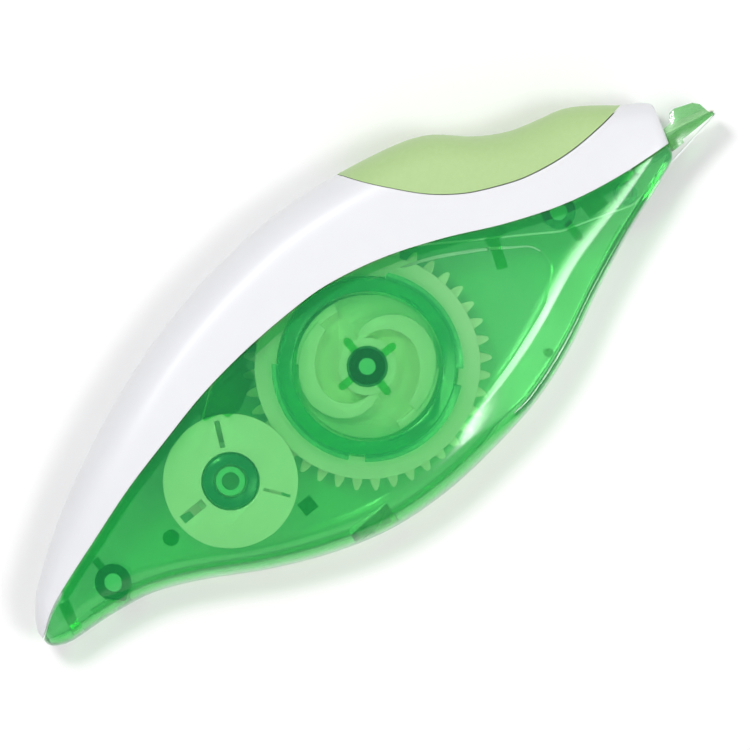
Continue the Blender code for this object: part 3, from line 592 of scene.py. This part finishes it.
def wound_tape(name, centre, first, second):
    """Edge of a wound coil: fine rings about the reel's axis, slightly uneven."""
    material, tree, shader, _ = new_material(name)
    shader.inputs["Roughness"].default_value = 0.55
    coords = tree.nodes.new("ShaderNodeTexCoord")
    shift = tree.nodes.new("ShaderNodeVectorMath")
    shift.operation = "SUBTRACT"
    shift.inputs[1].default_value = (centre[0] * MM, centre[1] * MM, 0.0)
    flat = tree.nodes.new("ShaderNodeVectorMath")
    flat.operation = "MULTIPLY"
    flat.inputs[1].default_value = (1.0, 1.0, 0.0)
    length = tree.nodes.new("ShaderNodeVectorMath")
    length.operation = "LENGTH"
    rings = tree.nodes.new("ShaderNodeTexNoise")
    rings.noise_dimensions = "1D"
    rings.inputs["Scale"].default_value = TURNS_PER_MM / MM
    rings.inputs["Detail"].default_value = 4.0
    tree.links.new(coords.outputs["Object"], shift.inputs[0])
    tree.links.new(shift.outputs["Vector"], flat.inputs[0])
    tree.links.new(flat.outputs["Vector"], length.inputs[0])
    tree.links.new(length.outputs["Value"], rings.inputs["W"])
    bump = tree.nodes.new("ShaderNodeBump")
    bump.inputs["Strength"].default_value = 0.5
    bump.inputs["Distance"].default_value = FINE_BUMP
    tree.links.new(rings.outputs["Fac"], bump.inputs["Height"])
    tree.links.new(bump.outputs["Normal"], shader.inputs["Normal"])
    colour_between(tree, rings.outputs["Fac"], shader, first, second)
    return material


def film_strip(name, first, second, roughness):
    material, tree, shader, _ = new_material(name)
    noise = add_bump(tree, shader, 900.0, 0.1, FINE_BUMP)
    low, high = roughness - FILM_ROUGHNESS_SPREAD, roughness + FILM_ROUGHNESS_SPREAD
    vary(tree, noise.outputs["Fac"], shader.inputs["Roughness"], low, high)
    colour_between(tree, noise.outputs["Fac"], shader, first, second)
    return material


HAZE_GREEN = (0.01, 0.76, 0.28)
CLEAR_GREEN = clear_plastic("clear_green_plastic", tint=(0.05, 0.86, 0.12), density=900.0,
                            haze_colour=HAZE_GREEN, haze=0.13, lamp_share=0.84)
# Paler, milkier copy of the case's clear green plastic for the pins and the take-up post's end: painted light,
# so their ends show bright as if lit.
PIN_GREEN_PAINTED_LIGHT = clear_plastic("pin_green_painted_light", tint=(0.2, 0.9, 0.4), density=300.0,
                          haze_colour=(0.30, 0.80, 0.42), haze=0.7, lamp_share=0.9)
CORE_GREEN = clear_plastic("core_green_plastic", tint=(0.0, 0.9, 0.6), density=400.0,
                           haze_colour=(0.02, 0.42, 0.20), haze=0.35, lamp_share=0.9, roughness=0.05)
DARK_GREEN = clear_plastic("dark_green_plastic", tint=(0.0, 0.85, 0.5), density=700.0,
                           haze_colour=(0.0, 0.20, 0.12), haze=0.6, lamp_share=0.9, roughness=0.05)
TIP_GREEN = clear_plastic("tip_green_plastic", tint=(0.40, 0.88, 0.35), density=650.0,
                          haze_colour=(0.24, 0.60, 0.25), haze=0.42, lamp_share=0.9, roughness=0.05)
WHITE = white_gloss()
RUBBER = grip_rubber()
NATURAL = natural_plastic()
COIL_WHITE = wound_tape("wound_correction_tape", (SUPPLY_X, SUPPLY_Y), (0.80, 0.76, 0.60), (0.90, 0.86, 0.70))
COIL_LINER = wound_tape("wound_liner", (TAKEUP_X, TAKEUP_Y), (0.66, 0.64, 0.52), (0.82, 0.80, 0.70))
FILM = film_strip("correction_film", (0.86, 0.87, 0.88), (0.92, 0.93, 0.94), 0.5)
LINER = film_strip("release_liner", (0.76, 0.74, 0.64), (0.84, 0.82, 0.73), 0.35)


# ---------------------------------------------------------------- pieces
SHELL_SHARP_DEGREES = 17.0
PIECE_SHARP_DEGREES = 30.0
BEVEL_DEGREES = 40.0
BEVEL_SEGMENTS = 2
ARM_START = 1.8


def shade(item, sharp_degrees=SHELL_SHARP_DEGREES):
    """Smooth shading, with edges sharper than the angle kept crisp."""
    shape = bmesh.new()
    shape.from_mesh(item.data)
    bmesh.ops.remove_doubles(shape, verts=shape.verts, dist=SHADE_MERGE)
    limit = math.radians(sharp_degrees)
    for face in shape.faces:
        face.smooth = True
    for edge in shape.edges:
        edge.smooth = len(edge.link_faces) == 2 and edge.calc_face_angle(0.0) < limit
    shape.to_mesh(item.data)
    shape.free()


def soften(item, width):
    """Small radius on every sharp edge, applied."""
    modifier = item.modifiers.new("soften", "BEVEL")
    modifier.width = width * MM
    modifier.segments = BEVEL_SEGMENTS
    modifier.limit_method = "ANGLE"
    modifier.angle_limit = math.radians(BEVEL_DEGREES)
    mesh = evaluated_mesh(item)
    item.modifiers.clear()
    item.data = mesh


def finish_piece(item, name, material, body, slot, *nodes):
    """Names a piece, gives it its material and says what it rides on and stands for."""
    SCRATCH.objects.unlink(item)
    PIECES.objects.link(item)
    item.name = name
    item.data.name = name
    item.data.materials.clear()
    item.data.materials.append(material)
    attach(item, body)
    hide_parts(*nodes)
    item.visible_diffuse = material is not CLEAR_GREEN
    return item


def front_ribs():
    """Ribs and posts inside the front shell: outline and the height that each starts from."""
    ribs = []
    for quarter in range(4):
        a = math.pi / 2 * quarter
        far = (SUPPLY_X + FIN_FAR * math.cos(a), SUPPLY_Y + FIN_FAR * math.sin(a))
        near = (SUPPLY_X + FIN_NEAR * math.cos(a), SUPPLY_Y + FIN_NEAR * math.sin(a))
        ribs.append((bar(*near, *far, FIN_WIDTH, True), FIN_LOW))
    tail_x, tail_y, _ = TAIL_POST
    nose_x, nose_y, _ = NOSE_POST
    return ribs + [
        (bar(tail_x, tail_y + ARM_START, tail_x, tail_y + 3.9, 1.0), 9.0),
        (bar(tail_x, tail_y - ARM_START, tail_x, tail_y - 3.4, 1.0), 9.0),
        (bar(-52.1, -1.4, -53.3, -5.6, 1.5), 9.0),
        (bar(nose_x, nose_y - ARM_START, nose_x, nose_y - 4.3, FIN_WIDTH, True), 11.6),
        (box_outline(35.3, 38.4, -5.0, -2.6), 11.0),
        (bar(23.3, 0.8, 21.9, -3.0, 1.5), 11.8),
        (box_outline(22.3, 25.3, 0.4, 1.6), 11.9),
        (UPPER_HOOK, 11.9),
        (circle(-35.4, -3.55, 1.1), 9.0),
        (box_outline(-19.4, -17.3, -12.6, -10.6), 9.0),
        (circle(19.7, -15.6, 0.6), 9.0),
        (box_outline(-16.2, -9.9, -20.6, -17.95), 9.0),
    ]


def curve_through(points, steps):
    """Points along a smooth curve through the given ones."""
    curve = []
    for k in range(len(points) - 1):
        a, b, c, d = (points[min(max(k + n, 0), len(points) - 1)] for n in (-1, 0, 1, 2))
        for t in (n / steps for n in range(steps)):
            curve.append(tuple(
                b[i] + 0.5 * t * (c[i] - a[i] + t * (2 * a[i] - 5 * b[i] + 4 * c[i] - d[i]
                                                    + t * (3 * (b[i] - c[i]) + d[i] - a[i]))) for i in (0, 1)))
    return curve + [points[-1]]


def window_floor(x):
    """Height of the window's floor above the middle of the case."""
    face = half_thickness(x)
    sunk = max(face - WINDOW_LEVEL, WINDOW_LEAST) * fade(x, WINDOW_FADE_START, WINDOW_FADE_END)
    return face - sunk + WINDOW_CLEAR * (1 - fade(x, WINDOW_FADE_START, WINDOW_FADE_END))


def between(points, x):
    """Height of a line through points sorted by x."""
    for (x0, y0), (x1, y1) in zip(points, points[1:]):
        if x <= x1:
            return y0 + (y1 - y0) * (x - x0) / (x1 - x0)
    return points[-1][1]


def outward(points, k, distance):
    """Point k of a closed outline, moved out by a distance."""
    (ax, ay), (bx, by) = points[k - 1], points[(k + 1) % len(points)]
    length = math.hypot(bx - ax, by - ay)
    x, y = points[k]
    return x + distance * (by - ay) / length, y - distance * (bx - ax) / length


def window_cutter(front):
    """Solid that cuts the shallow window: sloping sides, and a floor that fades out towards the tail."""
    side = 1 if front else -1
    curve = curve_through(WINDOW_LINE, WINDOW_STEPS)
    tip = max(range(len(curve)), key=lambda k: curve[k][0])
    lower, upper = curve[:tip + 1], curve[:tip - 1:-1]
    first, last = curve[0][0], curve[tip][0] - WINDOW_TIP_TRIM
    stations = [first + (last - first) * math.sin(math.pi / 2 * k / WINDOW_STATIONS)
                for k in range(WINDOW_STATIONS + 1)]
    outline = [(x, between(lower, x)) for x in stations]
    outline += [(x, between(upper, x)) for x in reversed(stations)]
    count = len(outline)
    shape = bmesh.new()
    floor, top = [], []
    for k, (x, y) in enumerate(outline):
        level = window_floor(x)
        wide_x, wide_y = outward(outline, k, (WINDOW_TOP - level) * WINDOW_SPREAD)
        floor.append(shape.verts.new((x * MM, y * MM, (MID_Z + side * level) * MM)))
        top.append(shape.verts.new((wide_x * MM, wide_y * MM, (MID_Z + side * WINDOW_TOP) * MM)))
    for k in range(count):
        j = (k + 1) % count
        shape.faces.new((floor[k], floor[j], top[j], top[k]))
    for k in range(WINDOW_STATIONS):
        near, far = count - 1 - k, count - 2 - k
        shape.faces.new((floor[k], floor[k + 1], floor[far], floor[near]))
        shape.faces.new((top[k], top[k + 1], top[far], top[near]))
    bmesh.ops.recalc_face_normals(shape, faces=shape.faces)
    mesh = bpy.data.meshes.new("window")
    shape.to_mesh(mesh)
    shape.free()
    return scratch_object("window", mesh)


def case_half(front, bodies):
    """One clear half of the case, with the tongue that the cover laps."""
    half_gap = FIT_GAP / 2
    side = 1 if front else -1
    low, high = sorted((MID_Z + side * half_gap, MID_Z + side * CLEAR_OF_CASE))
    shell = copy_of(bodies["outer"], "front_half" if front else "back_half")
    combine(shell, "DIFFERENCE", bodies["inner"])
    combine(shell, "INTERSECT", plate("half_zone", [parting_zone(-half_gap, -ZONE_FAR)], low, high))
    root_line = band(PARTING_LINE, TONGUE_ROOT, -half_gap - OVERLAP, TONGUE_START, TONGUE_END, ROOT_STEPS)
    root = plate("tongue_root", [root_line], low + ROOT_INSET, high - ROOT_INSET)
    combine(root, "INTERSECT", bodies["root"])
    tongue_line = band(PARTING_LINE, TONGUE_ROOT - TONGUE_TRIM, TONGUE_HEIGHT,
                       TONGUE_START + TONGUE_TRIM, TONGUE_END - TONGUE_TRIM, TONGUE_STEPS)
    tongue = plate("tongue", [tongue_line], low + TONGUE_INSET, high - TONGUE_INSET)
    combine(tongue, "INTERSECT", bodies["lap_outer"])
    combine(tongue, "UNION", root)
    combine(tongue, "DIFFERENCE", bodies["lap_inner"])
    combine(shell, "UNION", tongue)
    combine(shell, "DIFFERENCE", window_cutter(front))
    return shell


def seam_lip(bodies):
    """Lip inside the lower rim of the front half, where the two halves meet."""
    lip = copy_of(bodies["lip_outer"], "seam_lip")
    combine(lip, "DIFFERENCE", bodies["lip_inner"])
    rim = [(x, smooth_line(BOTTOM_LINE, x) + LIP_REACH) for x in range(LIP_START, LIP_END + 1, 2)]
    low = MID_Z + FIT_GAP / 2 + OVERLAP
    zone = plate("lip_zone", [rim + [(LIP_END, -ZONE_FAR), (LIP_START, -ZONE_FAR)]], low, MID_Z + LIP_HEIGHT)
    return combine(lip, "INTERSECT", zone)


def nose_cuts():
    opening = plate("nose_opening", [box_outline(*NOSE_OPENING)], MID_Z - OPENING_HALF, MID_Z + OPENING_HALF)
    channel = plate("tape_channel", [box_outline(*TAPE_CHANNEL)], MID_Z - CHANNEL_HALF, MID_Z + CHANNEL_HALF)
    return opening, channel


def make_front_shell(bodies, opening, channel):
    shell = case_half(True, bodies)
    hub = post("front_hub", SUPPLY_X, SUPPLY_Y, HUB_RADIUS, MID_Z + FRONT_POST_GAP, HUB_TOP, HUB_BORE)
    combine(shell, "UNION", hub)
    for (x, y, radius), lap in ((TAIL_POST, 0.0), (NOSE_POST, NOSE_POST_LAP)):
        top = wall_height(x, True, lap)
        combine(shell, "UNION", post("front_post", x, y, radius, MID_Z + FRONT_POST_GAP, top, HUB_BORE))
    for outline, low in front_ribs():
        rib = plate("front_rib", [outline], low, 2 * MID_Z + 1)
        combine(rib, "INTERSECT", bodies["root"])
        combine(shell, "UNION", rib)
    combine(shell, "DIFFERENCE", opening)
    combine(shell, "DIFFERENCE", channel)
    combine(shell, "UNION", seam_lip(bodies))
    shade(shell)
    return finish_piece(shell, "front_shell_clear", CLEAR_GREEN, "case", "clear_green", "front_shell")


def make_back_shell(bodies, opening, channel):
    shell = case_half(False, bodies)
    posts = (((SUPPLY_X, SUPPLY_Y, HUB_RADIUS), 0.0), (TAIL_POST, 0.0), (NOSE_POST, NOSE_POST_LAP))
    for (x, y, radius), lap in posts:
        combine(shell, "UNION", post("back_post", x, y, radius, wall_height(x, False, lap), BACK_POST_TOP))
    low = wall_height(TAKEUP_X, False)
    sleeve = post("takeup_post", TAKEUP_X, TAKEUP_Y, TAKEUP_POST_RADIUS, low, TAKEUP_CAP_Z, HUB_BORE)
    combine(shell, "UNION", sleeve)
    pin = post("guide_pin", GUIDE_X, GUIDE_Y, GUIDE_PIN_RADIUS, wall_height(GUIDE_X, False), GUIDE_PIN_TOP)
    combine(shell, "UNION", pin)
    combine(shell, "DIFFERENCE", opening)
    combine(shell, "DIFFERENCE", channel)
    shade(shell)
    return finish_piece(shell, "back_shell_clear", CLEAR_GREEN, "case", "clear_green", "back_shell")


def make_pins():
    """Pins of the back half that stand in the front half's posts, and the end of its take-up post, in a paler
    clear green that paints light on their ends.
    """
    places = ((SUPPLY_X, SUPPLY_Y), TAIL_POST[:2], NOSE_POST[:2])
    low = BACK_POST_TOP + PIECE_GAP
    solids = [post("back_pin", x, y, PIN_RADIUS, low, top) for (x, y), top in zip(places, PIN_TOPS)]
    low = TAKEUP_CAP_Z + PIECE_GAP
    cap = post("takeup_cap", TAKEUP_X, TAKEUP_Y, TAKEUP_POST_RADIUS, low, TAKEUP_POST_TOP, HUB_BORE)
    solids.append(cap)
    pins = joined("back_pins", solids)
    shade(pins, PIECE_SHARP_DEGREES)
    # The paler clear green is painted light on the pin ends.
    return finish_piece(pins, "back_shell_pins", PIN_GREEN_PAINTED_LIGHT, "case", "clear_green", "back_shell")


def make_cover(bodies, opening):
    cover = copy_of(bodies["outer"], "cover")
    combine(cover, "DIFFERENCE", bodies["inner"])
    combine(cover, "INTERSECT", plate("cover_zone", [parting_zone(FIT_GAP / 2, ZONE_FAR)], CUT_LOW, CUT_HIGH))
    for x, y, radius in [NOSE_GUIDE] + LINER_GUIDES:
        combine(cover, "UNION", post("liner_guide", x, y, radius, wall_height(x, False), wall_height(x, True)))
    seat = plate("grip_seat", [grip_zone(GRIP_SEAT_RIM)], CUT_LOW, CUT_HIGH)
    combine(seat, "INTERSECT", bodies["root"])
    combine(seat, "DIFFERENCE", bodies["lap_inner"])
    pocket = plate("grip_pocket", [grip_zone(FIT_GAP / 2)], CUT_LOW - 1, CUT_HIGH + 1)
    combine(pocket, "DIFFERENCE", bodies["lap_outer"])
    combine(cover, "UNION", seat)
    combine(cover, "DIFFERENCE", pocket)
    combine(cover, "DIFFERENCE", opening)
    shade(cover)
    return finish_piece(cover, "spine_cover_white", WHITE, "case", "white_gloss", "spine_cover")


def make_grip(bodies):
    grip = copy_of(bodies["outer"], "grip")
    combine(grip, "DIFFERENCE", bodies["inner"])
    combine(grip, "INTERSECT", plate("grip_zone", [grip_zone(0.0)], CUT_LOW, CUT_HIGH))
    shade(grip)
    return finish_piece(grip, "thumb_grip_pad", RUBBER, "case", "grip_rubber", "thumb_grip")


def refined(node, width):
    """Copy of a CAD node with its edges softened, as a new piece."""
    item = scratch_object(node, frame["nodes"][node].data.copy())
    shape = bmesh.new()
    shape.from_mesh(item.data)
    bmesh.ops.remove_doubles(shape, verts=shape.verts, dist=CAD_MERGE)
    flat = math.radians(FLAT_DEGREES)
    bmesh.ops.dissolve_limit(shape, angle_limit=flat, verts=shape.verts, edges=shape.edges)
    shape.to_mesh(item.data)
    shape.free()
    if width:
        soften(item, width)
    shade(item, PIECE_SHARP_DEGREES)
    return item


def make_inner_pieces():
    rows = [
        ("supply_gear", "supply_gear_white", NATURAL, "drive_gear", "natural_white", 0.12),
        ("clutch_disc", "clutch_disc_white", NATURAL, "drive_gear", "natural_white", 0.12),
        ("supply_core", "supply_core_green", CORE_GREEN, "supply_reel", "core_green", 0.12),
        ("supply_tape_coil", "supply_coil_tape", COIL_WHITE, "supply_reel", "correction_film", 0.08),
        ("takeup_gear", "takeup_gear_white", NATURAL, "takeup_reel", "natural_white", 0.12),
        ("takeup_core", "takeup_core_green", DARK_GREEN, "takeup_reel", "core_green", 0.12),
        ("takeup_flange", "takeup_flange_white", NATURAL, "takeup_reel", "natural_white", 0.1),
        ("takeup_liner_coil", "takeup_coil_liner", COIL_LINER, "takeup_reel", "release_liner", 0.08),
        ("guide_roller", "guide_roller_green", CORE_GREEN, "guide", "core_green", 0.12),
        ("tape_feed_run", "tape_feed_film", FILM, "case", "correction_film", 0.0),
        ("liner_return_run", "liner_return_strip", LINER, "case", "release_liner", 0.0),
        ("applicator_tip", "applicator_tip_clear", TIP_GREEN, "case", "pale_clear_green", 0.1),
    ]
    for node, name, material, body, slot, width in rows:
        finish_piece(refined(node, width), name, material, body, slot, node)


# ---------------------------------------------------------------- stage, light and camera
FLOOR_SIZE = 3.0
FLOOR_DROP = 0.0002
PICTURE_TILT = math.radians(38.5)
PICTURE_WIDTH_MM = 101.25
PICTURE_CENTRE = (-0.4, -3.5)
CAMERA_DISTANCE = 1.0
SENSOR_WIDTH = 36.0
LIGHT_TARGET = Vector((0.0, -0.0035, 0.0075))
SKY = ((0.0, 0.25), (0.35, 0.6), (0.84, 0.75), (0.93, 0.12), (1.0, 0.06))


def floor_material():
    material, tree, shader, _ = new_material("paper_floor")
    shader.inputs["Roughness"].default_value = 0.9
    shader.inputs["Specular IOR Level"].default_value = 0.1
    noise = add_bump(tree, shader, 600.0, 0.03, FINE_BUMP)
    colour_between(tree, noise.outputs["Fac"], shader, (0.965, 0.965, 0.965), (0.975, 0.975, 0.975))
    return material


def make_stage():
    shape = bmesh.new()
    bmesh.ops.create_grid(shape, x_segments=2, y_segments=2, size=FLOOR_SIZE)
    bmesh.ops.translate(shape, verts=shape.verts, vec=(0.0, 0.0, -FLOOR_DROP))
    mesh = bpy.data.meshes.new("floor")
    shape.to_mesh(mesh)
    shape.free()
    floor = bpy.data.objects.new("floor", mesh)
    bpy.context.scene.collection.objects.link(floor)
    floor.data.materials.append(floor_material())


def in_picture(right, up, height):
    """A point given by its place in the picture, in metres from the centre, and its height."""
    x = PICTURE_CENTRE[0] * MM + right * math.cos(PICTURE_TILT) + up * math.sin(PICTURE_TILT)
    y = PICTURE_CENTRE[1] * MM - right * math.sin(PICTURE_TILT) + up * math.cos(PICTURE_TILT)
    return Vector((x, y, height))


def add_area(name, right, up, height, size, power):
    """Soft square light aimed at the roller."""
    light = bpy.data.lights.new(name, "AREA")
    light.shape = "SQUARE"
    light.size = size
    light.energy = power
    item = bpy.data.objects.new(name, light)
    item.location = in_picture(right, up, height)
    aim = LIGHT_TARGET - item.location
    item.rotation_euler = aim.to_track_quat("-Z", "Y").to_euler()
    bpy.context.scene.collection.objects.link(item)
    return item


def soften_light(item):
    """Lets an area light fade out from its middle to its edges."""
    light = item.data
    light.use_nodes = True
    tree = light.node_tree
    emission = tree.nodes["Emission"]
    place = tree.nodes.new("ShaderNodeNewGeometry")
    shift = tree.nodes.new("ShaderNodeVectorMath")
    shift.operation = "SUBTRACT"
    shift.inputs[1].default_value = (0.5, 0.5, 0.0)
    length = tree.nodes.new("ShaderNodeVectorMath")
    length.operation = "LENGTH"
    fall = tree.nodes.new("ShaderNodeMapRange")
    fall.interpolation_type = "SMOOTHSTEP"
    fall.inputs["From Max"].default_value = 0.5
    fall.inputs["To Min"].default_value = 1.0
    fall.inputs["To Max"].default_value = 0.0
    tree.links.new(place.outputs["Parametric"], shift.inputs[0])
    tree.links.new(shift.outputs["Vector"], length.inputs[0])
    tree.links.new(length.outputs["Value"], fall.inputs["Value"])
    tree.links.new(fall.outputs["Result"], emission.inputs["Strength"])


def make_lights():
    world = bpy.data.worlds.new("studio")
    bpy.context.scene.world = world
    world.use_nodes = True
    background = world.node_tree.nodes["Background"]
    tree = world.node_tree
    coords = tree.nodes.new("ShaderNodeTexCoord")
    split = tree.nodes.new("ShaderNodeSeparateXYZ")
    grade = tree.nodes.new("ShaderNodeValToRGB")
    ends = grade.color_ramp.elements
    for stop, (_, level) in zip((ends[0], ends[1]), (SKY[0], SKY[-1])):
        stop.color = (level, level, level, 1.0)
    for position, level in SKY[1:-1]:
        ends.new(position).color = (level, level, level, 1.0)
    tree.links.new(coords.outputs["Generated"], split.inputs["Vector"])
    tree.links.new(split.outputs["Z"], grade.inputs["Fac"])
    tree.links.new(grade.outputs["Color"], background.inputs["Color"])
    add_area("key", right=-0.24, up=0.27, height=0.95, size=0.16, power=3.3)
    soften_light(add_area("nose_glint", right=0.46, up=-0.15, height=1.2, size=0.6, power=19.0))


def make_camera():
    bpy.context.scene.view_settings.view_transform = "Standard"
    lens = bpy.data.cameras.new("camera")
    lens.sensor_width = SENSOR_WIDTH
    lens.lens = SENSOR_WIDTH * CAMERA_DISTANCE / (PICTURE_WIDTH_MM * MM)
    lens.clip_end = 10.0
    camera = bpy.data.objects.new("camera", lens)
    camera.location = in_picture(0.0, 0.0, MID_Z * MM + CAMERA_DISTANCE)
    camera.rotation_euler = (0.0, 0.0, -PICTURE_TILT)
    bpy.context.scene.collection.objects.link(camera)
    bpy.context.scene.camera = camera


def main():
    bodies = {
        "outer": case_body("outer", 0.0),
        "inner": case_body("inner", CASE_WALL),
        "root": case_body("root", CASE_WALL / 2),
        "lip_outer": case_body("lip_outer", CASE_WALL - LIP_LAP),
        "lip_inner": case_body("lip_inner", CASE_WALL + LIP_THICKNESS),
        "lap_outer": case_body("lap_outer", CASE_WALL + FIT_GAP),
        "lap_inner": case_body("lap_inner", CASE_WALL + FIT_GAP + TONGUE_THICKNESS),
    }
    opening, channel = nose_cuts()
    make_front_shell(bodies, opening, channel)
    make_back_shell(bodies, opening, channel)
    make_pins()
    make_cover(bodies, opening)
    make_grip(bodies)
    make_inner_pieces()
    for item in list(SCRATCH.objects):
        bpy.data.objects.remove(item, do_unlink=True)
    bpy.data.collections.remove(SCRATCH)
    make_stage()
    make_lights()
    make_camera()


main()
